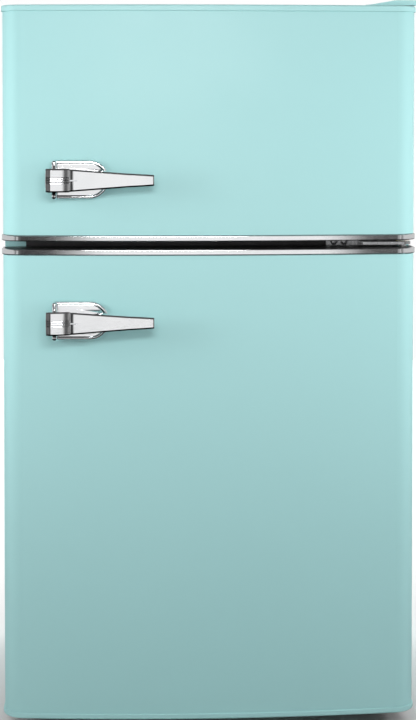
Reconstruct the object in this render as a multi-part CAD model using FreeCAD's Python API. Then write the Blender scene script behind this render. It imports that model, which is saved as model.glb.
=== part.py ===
"""Retro top freezer refrigerator: two bowed, painted doors on one insulated cabinet.

Millimetres. X runs to the right as seen from the front, Y from the front to the back, Z up.
The origin is on the floor at the middle of the overall box. Every piece is written to
parts/NAME.step under the name that the behaviour and the material list use.
"""

import FreeCAD
import Part

import math
import os

V = FreeCAD.Vector

# ---------------------------------------------------------------- driving dimensions
CABINET_W = 477.0           # outer width of the cabinet and of the door skins
CABINET_D = 385.0           # front flange to rear panel
CABINET_BOTTOM = 22.0
CABINET_TOP = 846.0
SHEET = 0.6                 # painted steel sheet
LINER = 2.0                 # vacuum formed plastic
FRONT_REACH = 100.0         # handle face ahead of the cabinet's front flange
REAR_REACH = 18.0           # condenser wires behind the rear panel

DOOR_BACK = 9.2             # door's rear plane ahead of the flange: gasket plus its gap
DOOR_BOW_FRONT = 69.2       # door's front at its middle, ahead of the flange
DOOR_BOW = 11.0
DOOR_CORNER = 25.0
LOWER_DOOR = (24.0, 566.6)  # bottom and top
UPPER_DOOR = (576.0, 846.0)
TOP_CAP_H = 7.9             # visible lip of the upper door's painted end cap
BASE_CAP_H = 6.5            # the same on the lower door's bottom edge
TRIM_H = 7.0                # chrome band at the two edges that meet in the middle
REVEAL = 0.5                # hairline gap between a chrome band and the painted skin
CAP_REVEAL = 0.9            # shadow gap between the top cap's lip and the skin
PROUD = 1.5                 # caps and bands stand this far out of the door skin
PLUG_H = 8.0                # part of an end cap that is inside the door skin

HINGE_X = 227.3
HINGE_OUT = 26.0            # hinge axis ahead of the flange
PIN_R = 3.5
RUNNING = 0.05              # radial clearance of every running fit
BUSH_R = 6.0

CAVITY_HALF = 196.0         # inner half width of both compartments
CAVITY_D = 338.0
FREEZER = (592.0, 798.0)    # floor and ceiling of the freezer compartment
FRESH = (72.0, 550.0)       # floor and ceiling of the fresh food compartment
NICHE_D = 150.0             # compressor niche, open at the back
NICHE_TOP = 208.0
HUMP_WALL = 32.0            # insulation between the niche and the fresh food compartment
FLANGE_W = 38.5

RIDGE_HALF = 184.0          # door liner's raised border, outer half width
RIDGE_W = 14.0
RIDGE_REACH = 18.0          # how far the border reaches behind the flange plane
RIDGE_MARGIN = 12.0         # from a compartment's floor or ceiling to the border

BIN_HALF = 166.0
BIN_WALL = 2.0

HANDLE_X = -178.0           # the handle's cross pin
HANDLE_Z = {"freezer": 646.8, "fridge": 485.6}

FACE_Y = (FRONT_REACH - CABINET_D - REAR_REACH) / 2    # puts the overall box about Y = 0
HALF_W = CABINET_W / 2
REAR_Y = FACE_Y + CABINET_D
HINGE_Y = FACE_Y - HINGE_OUT
NICHE_Y = REAR_Y - NICHE_D
HUMP_Y = NICHE_Y - HUMP_WALL
HUMP_TOP = NICHE_TOP + HUMP_WALL

X, Y, Z = V(1, 0, 0), V(0, 1, 0), V(0, 0, 1)


# ---------------------------------------------------------------- small helpers
def block(x, y, z):
    """A box from three (low, high) pairs."""
    return Part.makeBox(x[1] - x[0], y[1] - y[0], z[1] - z[0], V(x[0], y[0], z[0]))


def rod(radius, start, along, length):
    """A cylinder from a point, along a direction."""
    return Part.makeCylinder(radius, length, V(*start), along)


def fuse(first, *others):
    """One solid from several that touch or overlap."""
    return first.multiFuse(list(others)).removeSplitter() if others else first


def cut(first, *others):
    return first.cut(Part.makeCompound(list(others))) if others else first


def edges_along(shape, direction, keep=None):
    """Straight edges of a shape that run along a direction, optionally filtered by their midpoint."""
    found = []
    for e in shape.Edges:
        if not isinstance(e.Curve, Part.Line):
            continue
        a, b = e.Vertexes[0].Point, e.Vertexes[-1].Point
        run = (b - a).normalize()
        if abs(abs(run.dot(direction)) - 1) < 1e-6 and (keep is None or keep((a + b) * 0.5)):
            found.append(e)
    return found


def rounded(shape, radius, direction, keep=None):
    """The shape with its edges along one direction rounded."""
    return shape.makeFillet(radius, edges_along(shape, direction, keep))


def tray(x, y, z, wall, corner, floor=None):
    """An open topped box with rounded upright corners."""
    outer = rounded(block(x, y, z), corner, Z)
    inner = block((x[0] + wall, x[1] - wall), (y[0] + wall, y[1] - wall),
                  (z[0] + (floor or wall), z[1] + 1))
    return outer.cut(rounded(inner, corner - wall, Z))


def bent_path(points, bend):
    """Straight runs joined by tangent arcs of one radius, or smaller where the runs are short."""
    points = [V(*p) for p in points]
    edges, start = [], points[0]
    for before, corner, after in zip(points, points[1:], points[2:]):
        u, w = (before - corner).normalize(), (after - corner).normalize()
        half = math.acos(max(-1, min(1, u.dot(w)))) / 2
        reach = min(bend / math.tan(half), (before - corner).Length * 0.499,
                    (after - corner).Length * 0.499)
        radius = reach * math.tan(half)
        bisector = (u + w).normalize()
        centre = corner + bisector * (radius / math.sin(half))
        a, b = corner + u * reach, corner + w * reach
        if (a - start).Length > 1e-3:
            edges.append(Part.LineSegment(start, a).toShape())
        edges.append(Part.Arc(a, centre - bisector * radius, b).toShape())
        start = b
    edges.append(Part.LineSegment(start, points[-1]).toShape())
    return Part.Wire(edges)


def bent_tube(points, bend, radius):
    """A round bar along a bent path."""
    path = bent_path(points, bend)
    start = path.Edges[0]
    heading = start.tangentAt(start.FirstParameter)
    circle = Part.Wire([Part.Circle(start.valueAt(start.FirstParameter), heading, radius).toShape()])
    return path.makePipeShell([circle], True, False)


def strip(points, thickness, x):
    """A bent sheet: a (y, z) polyline with a thickness to its left, extruded along X."""
    runs = [(V(0, *b) - V(0, *a)).normalize() for a, b in zip(points, points[1:])]
    normals = [X.cross(r) for r in runs]
    inner = []
    for i, p in enumerate(points):
        near = normals[max(i - 1, 0)], normals[min(i, len(normals) - 1)]
        shift = near[0] * thickness if near[0].dot(near[1]) > 0.99 else (near[0] + near[1]) * thickness
        inner.append(V(0, *p) + shift)
    loop = [V(0, *p) for p in points] + inner[::-1]
    face = Part.Face(Part.makePolygon(loop + loop[:1]))
    face.translate(V(x[0], 0, 0))
    return face.extrude(V(x[1] - x[0], 0, 0))


def save(name, *solids):
    """Writes one node."""
    shape = solids[0] if len(solids) == 1 else Part.makeCompound(list(solids))
    loose = [s for s in shape.Solids if not s.isValid() or s.Volume <= 0]
    print(f"{name}: {len(shape.Solids)} solid(s), {shape.Volume / 1000:.1f} cm3"
          + (", NOT VALID" if loose or not shape.Solids else ""))
    shape.exportStep(os.path.join("parts", name + ".step"))


# ---------------------------------------------------------------- the bowed door outline
BOW_R = (HALF_W - DOOR_CORNER) ** 2 / (2 * DOOR_BOW) + DOOR_BOW / 2
BOW_CENTRE_Y = FACE_Y - DOOR_BOW_FRONT + BOW_R
CORNER_X = HALF_W - DOOR_CORNER
CORNER_Y = BOW_CENTRE_Y - math.sqrt((BOW_R - DOOR_CORNER) ** 2 - CORNER_X ** 2)


def bow_y(x, grow=0.0):
    """The door's front surface at a place across its width."""
    return BOW_CENTRE_Y - math.sqrt((BOW_R + grow) ** 2 - x ** 2)


def mirror(point):
    return V(-point.x, point.y, 0)


def door_outline(grow, back):
    """The door's plan as a closed wire: bowed front, round corners, straight sides and a flat back."""
    half = HALF_W + grow
    reach = DOOR_CORNER + grow
    to_corner = V(CORNER_X, CORNER_Y - BOW_CENTRE_Y, 0).normalize()
    right_front = V(0, BOW_CENTRE_Y, 0) + to_corner * (BOW_R + grow)
    side_front = V(half, CORNER_Y, 0)
    mid = (to_corner + X).normalize() * reach + V(CORNER_X, CORNER_Y, 0)
    back_right = V(half, back, 0)
    edges = [
        Part.LineSegment(back_right, side_front).toShape(),
        Part.Arc(side_front, mid, right_front).toShape(),
        Part.Arc(right_front, V(0, bow_y(0, grow), 0), mirror(right_front)).toShape(),
        Part.Arc(mirror(right_front), mirror(mid), mirror(side_front)).toShape(),
        Part.LineSegment(mirror(side_front), mirror(back_right)).toShape(),
        Part.LineSegment(mirror(back_right), back_right).toShape(),
    ]
    return Part.Wire(edges)


def door_slab(grow, z, back=None):
    """The door's outline as a solid between two heights."""
    wire = door_outline(grow, FACE_Y - DOOR_BACK if back is None else back)
    slab = Part.Face(wire).extrude(V(0, 0, z[1] - z[0]))
    slab.translate(V(0, 0, z[0]))
    return slab


def ring(outer_x, outer_z, width, y):
    """A rectangular frame in the XZ plane."""
    outer = block((-outer_x, outer_x), y, outer_z)
    inner = block((width - outer_x, outer_x - width), (y[0] - 1, y[1] + 1),
                  (outer_z[0] + width, outer_z[1] - width))
    return outer.cut(inner)


# ---------------------------------------------------------------- cabinet
SHELL_CORNER = 10.0
LEDGE_TOPS = (252.0, 350.0, 450.0)      # undersides of the glass shelves
FREEZER_LEDGE_TOP = 690.0
LEDGE = (8.0, 6.0)                      # how far a side ledge stands in, and its height
DRAIN = (0.0, REAR_Y - 90.0)            # drain hole in the hump's top
DRAIN_R = 6.0


def cabinet_profile(inset):
    """The cabinet's outer box, with its two long top edges rounded."""
    body = block((inset - HALF_W, HALF_W - inset), (FACE_Y, REAR_Y),
                 (CABINET_BOTTOM, CABINET_TOP - inset))
    return rounded(body, SHELL_CORNER - inset, Y, lambda m: m.z > CABINET_TOP - 20)


def outer_shell():
    """Painted wrapper: two sides and the top, with a front flange folded in."""
    inner = cabinet_profile(SHEET)
    inner.translate(V(0, SHEET, 0))
    shell = cabinet_profile(0).cut(inner)
    opening = block((FLANGE_W - HALF_W, HALF_W - FLANGE_W), (FACE_Y - 1, FACE_Y + 5),
                    (CABINET_BOTTOM - 1, FREEZER[1] + 9))
    below = block((SHEET - HALF_W, HALF_W - SHEET), (FACE_Y - 1, REAR_Y + 1),
                  (CABINET_BOTTOM - 1, CABINET_BOTTOM + 0.5))
    behind = block((SHEET - HALF_W, HALF_W - SHEET), (REAR_Y - SHEET, REAR_Y + 1),
                   (CABINET_BOTTOM, CABINET_TOP - SHEET))
    return cut(shell, opening, below, behind)


def rear_panel():
    """Flat steel back with shallow stiffening swages, above the niche."""
    panel = block((SHEET - HALF_W, HALF_W - SHEET), (REAR_Y - SHEET, REAR_Y),
                  (NICHE_TOP, CABINET_TOP - SHEET))
    panel = rounded(panel, SHELL_CORNER - SHEET, Y, lambda m: m.z > CABINET_TOP - 20)
    swages = [
        rounded(block((x - 7, x + 7), (REAR_Y, REAR_Y + SHEET), (260, 790)), 6.9, Y)
        for x in (-215, 215)
    ]
    return fuse(panel, *swages)


def base_plate():
    """Front rail, floor and niche walls folded from one sheet, with the feet's weld nuts."""
    plate = strip([(FACE_Y + SHEET, 68), (FACE_Y + SHEET, CABINET_BOTTOM), (NICHE_Y, CABINET_BOTTOM),
                   (NICHE_Y, NICHE_TOP - SHEET), (REAR_Y - SHEET, NICHE_TOP - SHEET)],
                  SHEET, (SHEET - HALF_W, HALF_W - SHEET))
    nuts = [rod(8.0, (x, FOOT_Y, CABINET_BOTTOM + SHEET), Z, 8) for x in FOOT_XS]
    holes = [rod(STUD_R + RUNNING, (x, FOOT_Y, CABINET_BOTTOM - 1), Z, 20) for x in FOOT_XS]
    return cut(fuse(plate, *nuts), *holes, rod(DRAIN_R, (*DRAIN, NICHE_TOP - 5), Z, 10))


def liner_shape(z, grow, flange):
    """A compartment's rounded box, grown outwards, with a front flange if one is asked for."""
    back = FACE_Y + CAVITY_D + grow
    box = block((-CAVITY_HALF - grow, CAVITY_HALF + grow), (FACE_Y, back), (z[0] - grow, z[1] + grow))
    if z is FRESH:
        box = box.cut(block((-HALF_W, HALF_W), (HUMP_Y + grow, back + 1), (0, HUMP_TOP - grow)))
    box = box.makeFillet(12.0 + grow, edges_along(box, Y) + edges_along(
        box, Z, lambda m: m.y > FACE_Y + 20) + edges_along(box, X, lambda m: m.y > FACE_Y + 20
                                                         and m.z > z[1] - 20))
    if flange:
        rim = block((FLANGE_W - HALF_W, HALF_W - FLANGE_W), (FACE_Y, FACE_Y + LINER), (z[0] - 4, z[1] + 9))
        box = fuse(box, rim)
    return box


def ledges(top, back):
    """A moulded shelf ledge along each side wall."""
    out, height = LEDGE
    bars = []
    for side in (-1, 1):
        x = sorted((side * (CAVITY_HALF + 0.3), side * (CAVITY_HALF - out)))
        bars.append(block(x, (FACE_Y + 92, back), (top - height, top)))
    return bars


def freezer_liner():
    liner = liner_shape(FREEZER, LINER, True).cut(liner_shape(FREEZER, 0, False))
    return fuse(liner, *ledges(FREEZER_LEDGE_TOP, FACE_Y + CAVITY_D - 10))


def fridge_liner():
    liner = liner_shape(FRESH, LINER, True).cut(liner_shape(FRESH, 0, False))
    bars = [b for top in LEDGE_TOPS for b in ledges(top, FACE_Y + CAVITY_D - 10)]
    spout_low = TRAY_Z[1] - 6
    spout = rod(DRAIN_R, (*DRAIN, spout_low), Z, HUMP_TOP - spout_low - 1)
    return cut(fuse(liner, spout, *bars), rod(DRAIN_R - 1.5, (*DRAIN, spout_low - 1), Z, 60))


WRAP_Y = (FACE_Y + 50, FACE_Y + 330)    # the evaporator's depth
WRAP_GAP = 1.0
WRAP_POCKET = 11.0


def evaporator_plate():
    """Aluminium sheet bent round the freezer liner: floor, sides and ceiling."""
    near = CAVITY_HALF + LINER + 0.2
    outer = block((-near - WRAP_GAP, near + WRAP_GAP), WRAP_Y,
                  (FREEZER[0] - LINER - 0.2 - WRAP_GAP, FREEZER[1] + LINER + 0.2 + WRAP_GAP))
    inner = block((-near, near), (WRAP_Y[0] - 1, WRAP_Y[1] + 1),
                  (FREEZER[0] - LINER - 0.2, FREEZER[1] + LINER + 0.2))
    corner = 12.0 + LINER + 0.2
    return rounded(outer, corner + WRAP_GAP, Y).cut(rounded(inner, corner, Y))


def cabinet_foam():
    """Rigid foam between the wrapper and the two liners."""
    foam = cabinet_profile(SHEET)
    foam.translate(V(0, SHEET, 0))
    body = foam.common(block((-HALF_W, HALF_W), (FACE_Y + 2 * SHEET, REAR_Y - SHEET),
                             (CABINET_BOTTOM + SHEET, CABINET_TOP)))
    niche = block((-HALF_W, HALF_W), (NICHE_Y - SHEET, REAR_Y), (0, NICHE_TOP))
    side, low, high = CAVITY_HALF + LINER, FREEZER[0] - LINER, FREEZER[1] + LINER
    pocket = block((-side - WRAP_POCKET, side + WRAP_POCKET), (WRAP_Y[0] - 5, WRAP_Y[1] + 1),
                   (low - 4, high + WRAP_POCKET))
    nuts = [rod(12, (x, FOOT_Y, CABINET_BOTTOM), Z, 24) for x in FOOT_XS]
    body = cut(body, niche, pocket, *nuts, rod(DRAIN_R + 0.01, (*DRAIN, NICHE_TOP - 5), Z, 60))
    return cut(body, liner_shape(FREEZER, LINER, True), liner_shape(FRESH, LINER, True))


MULLION_T = 0.8


def mullion_cover():
    """Dark strip across the cabinet front between the two doors."""
    return block((-214, 214), (FACE_Y - MULLION_T, FACE_Y), (552, 591))


# ---------------------------------------------------------------- hinges
TOP_PLATE = 2.5
BRACKET_LIFT = 1.5          # the top bracket steps up by this much over the door
MID_PLATE = (569.2, 572.4)
MID_FLANGE = 2.5
BOTTOM_PLATE = (19.0, CABINET_BOTTOM)
TOP_SCREWS = [(208, FACE_Y + 14), (208, FACE_Y + 40), (229, FACE_Y + 40)]
MID_SCREW_XS = (149.0, 161.0)
BOTTOM_SCREWS = [(218, FACE_Y + 12), (178, FACE_Y + 14), (178, FACE_Y + 50)]
MID_SCREW_Z = 571.0
SCREW_R = 2.4


def pin(z, radius=PIN_R):
    return rod(radius, (HINGE_X, HINGE_Y, z[0]), Z, z[1] - z[0])


def lug(z, x_low, y_back, end_r=9.0):
    """A flat bracket arm that ends in a round lug about the hinge axis."""
    arm = block((x_low, HINGE_X + end_r), (HINGE_Y, y_back), z)
    return fuse(arm, pin(z, end_r), block((x_low, HINGE_X), (HINGE_Y - end_r, HINGE_Y), z))


def top_hinge_bracket():
    z = CABINET_TOP
    rear = block((198, 236.5), (FACE_Y + 2, FACE_Y + 50), (z, z + TOP_PLATE))
    front = lug((z + BRACKET_LIFT, z + BRACKET_LIFT + TOP_PLATE), 208, FACE_Y + 4)
    bracket = fuse(rear, front, pin((z - 11, z + BRACKET_LIFT + 1)))
    return cut(bracket, *[rod(SCREW_R, (*p, z - 1), Z, 6) for p in TOP_SCREWS])


def middle_hinge_bracket():
    back = FACE_Y - MULLION_T
    flange = block((139.7, 233), (back - MID_FLANGE, back), (560.5, 581.5))
    flange = rounded(flange, 2.0, Y)
    arm = lug(MID_PLATE, 179, back)
    bracket = fuse(flange, arm, pin((LOWER_DOOR[1] - 12, UPPER_DOOR[0] + 12)))
    holes = [rod(SCREW_R, (x, back - 5, MID_SCREW_Z), Y, 10) for x in MID_SCREW_XS]
    return cut(bracket, *holes)


def bottom_hinge_bracket():
    arm = lug(BOTTOM_PLATE, 196, FACE_Y + 10)
    foot = block((162, 236.5), (FACE_Y + 3, FACE_Y + 62), BOTTOM_PLATE)
    bracket = fuse(rounded(foot, 5.0, Z, lambda m: m.y > FACE_Y + 20), arm,
                   pin((BOTTOM_PLATE[0], LOWER_DOOR[0] + 12)))
    holes = [rod(SCREW_R, (*p, 15), Z, 10) for p in BOTTOM_SCREWS]
    return cut(bracket, *holes, rod(4.4, (FOOT_XS[1], FOOT_Y, 15), Z, 10))


COVER_TOP = 853.0
COVER_WALL = 1.4
COVER_X = (181.0, 239.5)
COVER_RAMP_END = 220.0


def cover_face(x, top, low, y):
    """The hinge cover's front profile: a soft ramp at the left that levels out to the right."""
    ramp_low = V(x[0], y, low + 1.6)
    ramp_high = V(COVER_RAMP_END, y, top)
    middle = (ramp_low + ramp_high) * 0.5
    slope = (ramp_high - ramp_low) * 0.28
    curve = Part.BSplineCurve()
    curve.interpolate([ramp_low, middle, ramp_high],
                      Tangents=[V(6, 0, 0.2), slope * 2, V(8, 0, 0)],
                      TangentFlags=[True, True, True])
    edges = [
        curve.toShape(),
        Part.LineSegment(ramp_high, V(x[1], y, top)).toShape(),
        Part.LineSegment(V(x[1], y, top), V(x[1], y, low)).toShape(),
        Part.LineSegment(V(x[1], y, low), V(x[0], y, low)).toShape(),
        Part.LineSegment(V(x[0], y, low), ramp_low).toShape(),
    ]
    return Part.Face(Part.Wire(edges))


def top_hinge_cover():
    """Painted plastic cover over the top bracket, reaching over the door's end cap."""
    front, back = FACE_Y - 44, FACE_Y + 62
    body = cover_face(COVER_X, COVER_TOP, CABINET_TOP, front).extrude(V(0, back - front, 0))
    body = body.makeFillet(2.4, edges_along(body, Y, lambda m: m.x > 236 and m.z > 850))
    hollow = block((196.5, COVER_X[1] - COVER_WALL), (front + COVER_WALL, back - COVER_WALL),
                   (CABINET_TOP - 1, CABINET_TOP + BRACKET_LIFT + TOP_PLATE + 0.3))
    heads = [rod(4.6, (*p, CABINET_TOP), Z, 5.6) for p in TOP_SCREWS]
    over_door = block((COVER_X[0] - 1, COVER_X[1] + 1), (front - 1, FACE_Y - DOOR_BACK + 6),
                      (CABINET_TOP - 1, CABINET_TOP + 1.0))
    return cut(body, hollow, over_door, *heads)


def screw(head_r, head_h, grip, point, direction):
    """A domed screw, its head on a surface and its shank filling the hole behind."""
    tip = V(*point)
    head = rod(head_r, point, direction, head_h)
    crown = max(head.Edges, key=lambda e: (e.CenterOfMass - tip).dot(direction))
    head = head.makeFillet(head_h * 0.6, [crown])
    return fuse(head, rod(SCREW_R, tip - direction * grip, direction, grip))


def hinge_screws():
    made = [screw(4.2, 2.0, TOP_PLATE, (*p, CABINET_TOP + TOP_PLATE), Z) for p in TOP_SCREWS]
    made += [screw(4.2, 2.2, MID_FLANGE, (x, FACE_Y - MULLION_T - MID_FLANGE, MID_SCREW_Z), -Y)
             for x in MID_SCREW_XS]
    made += [screw(4.6, 2.4, BOTTOM_PLATE[1] - BOTTOM_PLATE[0], (*p, BOTTOM_PLATE[0]), -Z)
             for p in BOTTOM_SCREWS]
    return made


def hinge_hole_plugs():
    """Snap-in plugs over the spare hinge holes on the left of the top."""
    plugs = []
    for x, y in TOP_SCREWS:
        head = rod(5.0, (-x, y, CABINET_TOP), Z, 1.4)
        plugs.append(head.makeFillet(0.9, [max(head.Edges, key=lambda e: e.CenterOfMass.z)]))
    return plugs


# ---------------------------------------------------------------- feet
FOOT_XS = (-208.0, 208.0)
FOOT_Y = FACE_Y + 36
STUD_R = 4.0
PAD_R = 15.0


def front_foot(x):
    """Levelling foot: a ribbed pad moulded round a threaded stud, standing on the floor."""
    pad = Part.makeCone(PAD_R, PAD_R - 2.5, 9.0, V(x, FOOT_Y, 0), Z)
    rim = max(pad.Edges, key=lambda e: e.CenterOfMass.z if e.Closed else -1)
    pad = pad.makeFillet(1.5, [rim])
    flutes = []
    for i in range(12):
        a = math.tau * i / 12
        flutes.append(rod(2.0, (x + (PAD_R + 0.4) * math.cos(a), FOOT_Y + (PAD_R + 0.4) * math.sin(a), 2.0),
                          Z, 12))
    stud = rod(STUD_R, (x, FOOT_Y, 8), Z, 32)
    return fuse(cut(pad, *flutes), stud)


def rear_feet():
    """Fixed plastic feet under the compressor plate."""
    feet = []
    for x in FOOT_XS:
        foot = Part.makeCone(13.0, 17.0, CABINET_BOTTOM, V(x, REAR_Y - 26, 0), Z)
        lowest = min(foot.Edges, key=lambda e: e.CenterOfMass.z if e.Closed else 99)
        feet.append(foot.makeFillet(2.0, [lowest]))
    return feet


# ---------------------------------------------------------------- refrigeration
COMP = V(62, NICHE_Y + 78, 0)
COMP_PLATE_T = 1.6
GROMMET_H = 10.0
COMP_FOOT_Z = CABINET_BOTTOM + COMP_PLATE_T + GROMMET_H
COMP_R = 55.0
COMP_TOP = 166.0
COMP_BOLTS = [(COMP.x + sx * 68, COMP.y + sy * 42) for sx in (-1, 1) for sy in (-1, 1)]


STUB_X = COMP.x - COMP_R - 12
DISCHARGE_STUB = (STUB_X, COMP.y + 18, 78.0)
SUCTION_STUB = (STUB_X, COMP.y - 14, 122.0)
STUBS = [(4.0, DISCHARGE_STUB), (5.0, SUCTION_STUB), (3.0, (STUB_X, COMP.y + 20, 116.0))]


def compressor_plate():
    """Steel cross member that carries the compressor: turned-up edges and welded mounting studs."""
    y = (NICHE_Y + SHEET, REAR_Y - SHEET)
    z = CABINET_BOTTOM
    wide = (SHEET - HALF_W, HALF_W - SHEET)
    floor = block(wide, y, (z, z + COMP_PLATE_T))
    front = block(wide, (y[0], y[0] + COMP_PLATE_T), (z, z + 12))
    rear = block(wide, (y[1] - COMP_PLATE_T, y[1]), (z, z + 12))
    gland_tab = block((-176, -144), (y[1] - COMP_PLATE_T, y[1]), (z, z + 46))
    gland_tab = rounded(gland_tab, 5.0, Y, lambda m: m.z > z + 40)
    studs = [rod(3.9, (*p, z), Z, COMP_PLATE_T + GROMMET_H + 8) for p in COMP_BOLTS]
    vents = [block((x - 26, x + 26), (COMP.y - 3, COMP.y + 3), (z - 1, z + 5)) for x in (-180, -110, -40)]
    gland = rod(GLAND_R, (GLAND.x, GLAND.y - 10, GLAND.z), Y, 20)
    return fuse(cut(fuse(floor, front, rear, gland_tab), *vents, gland), *studs)


GLAND = V(-160, REAR_Y - SHEET - COMP_PLATE_T / 2, CABINET_BOTTOM + 31)
GLAND_R = 7.0
CORD_R = 3.6


def cord_gland():
    """Bush that the mains lead leaves through, snapped into the compressor plate's tab."""
    y = GLAND.y
    half = COMP_PLATE_T / 2
    neck = rod(GLAND_R, (GLAND.x, y - half, GLAND.z), Y, COMP_PLATE_T)
    inner = rod(GLAND_R + 2.5, (GLAND.x, y - half - 4, GLAND.z), Y, 4)
    outer = rod(GLAND_R + 2.5, (GLAND.x, y + half, GLAND.z), Y, 3)
    nose = Part.makeCone(GLAND_R + 0.5, CORD_R + 1.8, 12, V(GLAND.x, y + half + 3, GLAND.z), Y)
    return cut(fuse(inner, neck, outer, nose), rod(CORD_R, (GLAND.x, y - 20, GLAND.z), Y, 50))


def compressor():
    """Welded steel can on a four-legged foot, with three short stub tubes."""
    low, seam, top = COMP_FOOT_Z + 3, 96.0, COMP_TOP
    profile = [
        Part.LineSegment(V(0, 0, low), V(30, 0, low)).toShape(),
        Part.Arc(V(30, 0, low), V(COMP_R - 6, 0, low + 8), V(COMP_R, 0, low + 26)).toShape(),
        Part.LineSegment(V(COMP_R, 0, low + 26), V(COMP_R, 0, seam)).toShape(),
        Part.LineSegment(V(COMP_R, 0, seam), V(COMP_R + 3, 0, seam)).toShape(),
        Part.LineSegment(V(COMP_R + 3, 0, seam), V(COMP_R + 3, 0, seam + 5)).toShape(),
        Part.LineSegment(V(COMP_R + 3, 0, seam + 5), V(COMP_R - 1, 0, seam + 8)).toShape(),
        Part.LineSegment(V(COMP_R - 1, 0, seam + 8), V(COMP_R - 1, 0, top - 34)).toShape(),
        Part.Arc(V(COMP_R - 1, 0, top - 34), V(COMP_R - 14, 0, top - 9), V(18, 0, top)).toShape(),
        Part.LineSegment(V(18, 0, top), V(0, 0, top)).toShape(),
        Part.LineSegment(V(0, 0, top), V(0, 0, low)).toShape(),
    ]
    can = Part.Face(Part.Wire(profile)).revolve(V(0, 0, 0), Z, 360)
    can.translate(V(COMP.x, COMP.y, 0))
    foot = block((COMP.x - 80, COMP.x + 80), (COMP.y - 52, COMP.y + 52), (COMP_FOOT_Z, COMP_FOOT_Z + 3))
    waists = [block((COMP.x - 50, COMP.x + 50), (COMP.y + s * 56 - 14, COMP.y + s * 56 + 14), (0, 60))
              for s in (-1, 1)]
    foot = cut(rounded(foot, 8.0, Z), *waists)
    foot = cut(foot, *[rod(5.0, (*p, COMP_FOOT_Z - 1), Z, 6) for p in COMP_BOLTS])
    stubs = [rod(r, at, X, 20) for r, at in STUBS]
    return fuse(can, foot, *stubs)


def compressor_grommets():
    """Rubber mounts, each a waisted sleeve that spaces the foot from the plate."""
    z = CABINET_BOTTOM + COMP_PLATE_T
    made = []
    for p in COMP_BOLTS:
        lower = rod(9.0, (*p, z), Z, 4)
        waist = rod(6.8, (*p, z + 4), Z, 2.5)
        upper = rod(9.0, (*p, z + 6.5), Z, GROMMET_H - 6.5)
        made.append(cut(fuse(lower, waist, upper), rod(3.9, (*p, z - 1), Z, 20)))
    return made


def relay_cover():
    """Starter and overload housing clipped on the can's right side."""
    x = COMP.x + COMP_R
    body = block((x - 14, x + 36), (COMP.y - 28, COMP.y + 28), (58, 94))
    body = body.makeFillet(4.0, body.Edges)
    return body.cut(rod(COMP_R + 0.4, (COMP.x, COMP.y, 30), Z, 140))


TRAY_Z = (COMP_TOP + 4, COMP_TOP + 30)


def evaporation_tray():
    """Shallow pan over the compressor that catches defrost water, standing on its rim posts."""
    pan = tray((COMP.x - 92, COMP.x + 62), (COMP.y - 50, COMP.y + 50), TRAY_Z, 2.0, 14.0)
    posts = [rod(5.0, (COMP.x + sx * 15, COMP.y, COMP_TOP), Z, 5.0) for sx in (-0.5, 0.5)]
    return fuse(pan, *posts)


COIL_R = 2.4
COIL_Y = REAR_Y + REAR_REACH - 4
COIL_HALF = 196.0
COIL_LOW, COIL_PITCH, COIL_PASSES = 246.0, 46.0, 12
WIRE_R = 0.75
WIRE_GAP = 0.03


COIL_IN = (-COIL_HALF - 14, COIL_Y, 196.0)
COIL_OUT = (-COIL_HALF + 26, COIL_Y, 196.0)


def condenser_tube():
    """Serpentine of level passes behind the rear panel, both ends led down to the niche."""
    points = [COIL_OUT]
    for i in range(COIL_PASSES):
        z = COIL_LOW + COIL_PITCH * i
        left, right = (COIL_OUT[0] if i == 0 else -COIL_HALF, COIL_Y, z), (COIL_HALF, COIL_Y, z)
        points += [left, right] if i % 2 == 0 else [right, left]
    points[-1] = (COIL_IN[0], COIL_Y, points[-1][2])
    return bent_tube(points + [COIL_IN], COIL_PITCH / 2, COIL_R)


def condenser_wires():
    """Upright wires welded on both faces of the serpentine."""
    low, high = COIL_LOW - 8, COIL_LOW + COIL_PITCH * (COIL_PASSES - 1) + 8
    off = COIL_R + WIRE_R + WIRE_GAP
    made = []
    count = 31
    for side in (-1, 1):
        for i in range(count):
            x = -COIL_HALF + 26 + (2 * COIL_HALF - 52) * i / (count - 1)
            made.append(rod(WIRE_R, (x, COIL_Y + side * off, low), Z, high - low))
    return made


WIRE_PITCH = (2 * COIL_HALF - 52) / 30


def condenser_brackets():
    """Plastic stand-offs on the rear panel, each snapped round one pass of the serpentine."""
    made = []
    for k in (-12.5, 12.5):
        for i in (1, 5, 10):
            x, z = k * WIRE_PITCH, COIL_LOW + COIL_PITCH * i
            foot = block((x - 3.5, x + 3.5), (REAR_Y, REAR_Y + 2), (z - 14, z + 14))
            arm = block((x - 3.0, x + 3.0), (REAR_Y, COIL_Y + 4), (z - 5, z + 5))
            made.append(cut(fuse(foot, arm), rod(COIL_R, (x - 10, COIL_Y, z), X, 20)))
    return made


DRIER = (COIL_OUT[0], REAR_Y - 30)
DRIER_Z = (104.0, 178.0)


def filter_drier():
    """Spun copper capsule between the condenser and the capillary."""
    r, (low, high) = 9.0, DRIER_Z
    body = rod(r, (*DRIER, low + 10), Z, high - low - 20)
    necks = [Part.makeCone(3.0, r, 10, V(*DRIER, low), Z), Part.makeCone(r, 3.0, 10, V(*DRIER, high - 10), Z)]
    return fuse(body, *necks)


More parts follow.
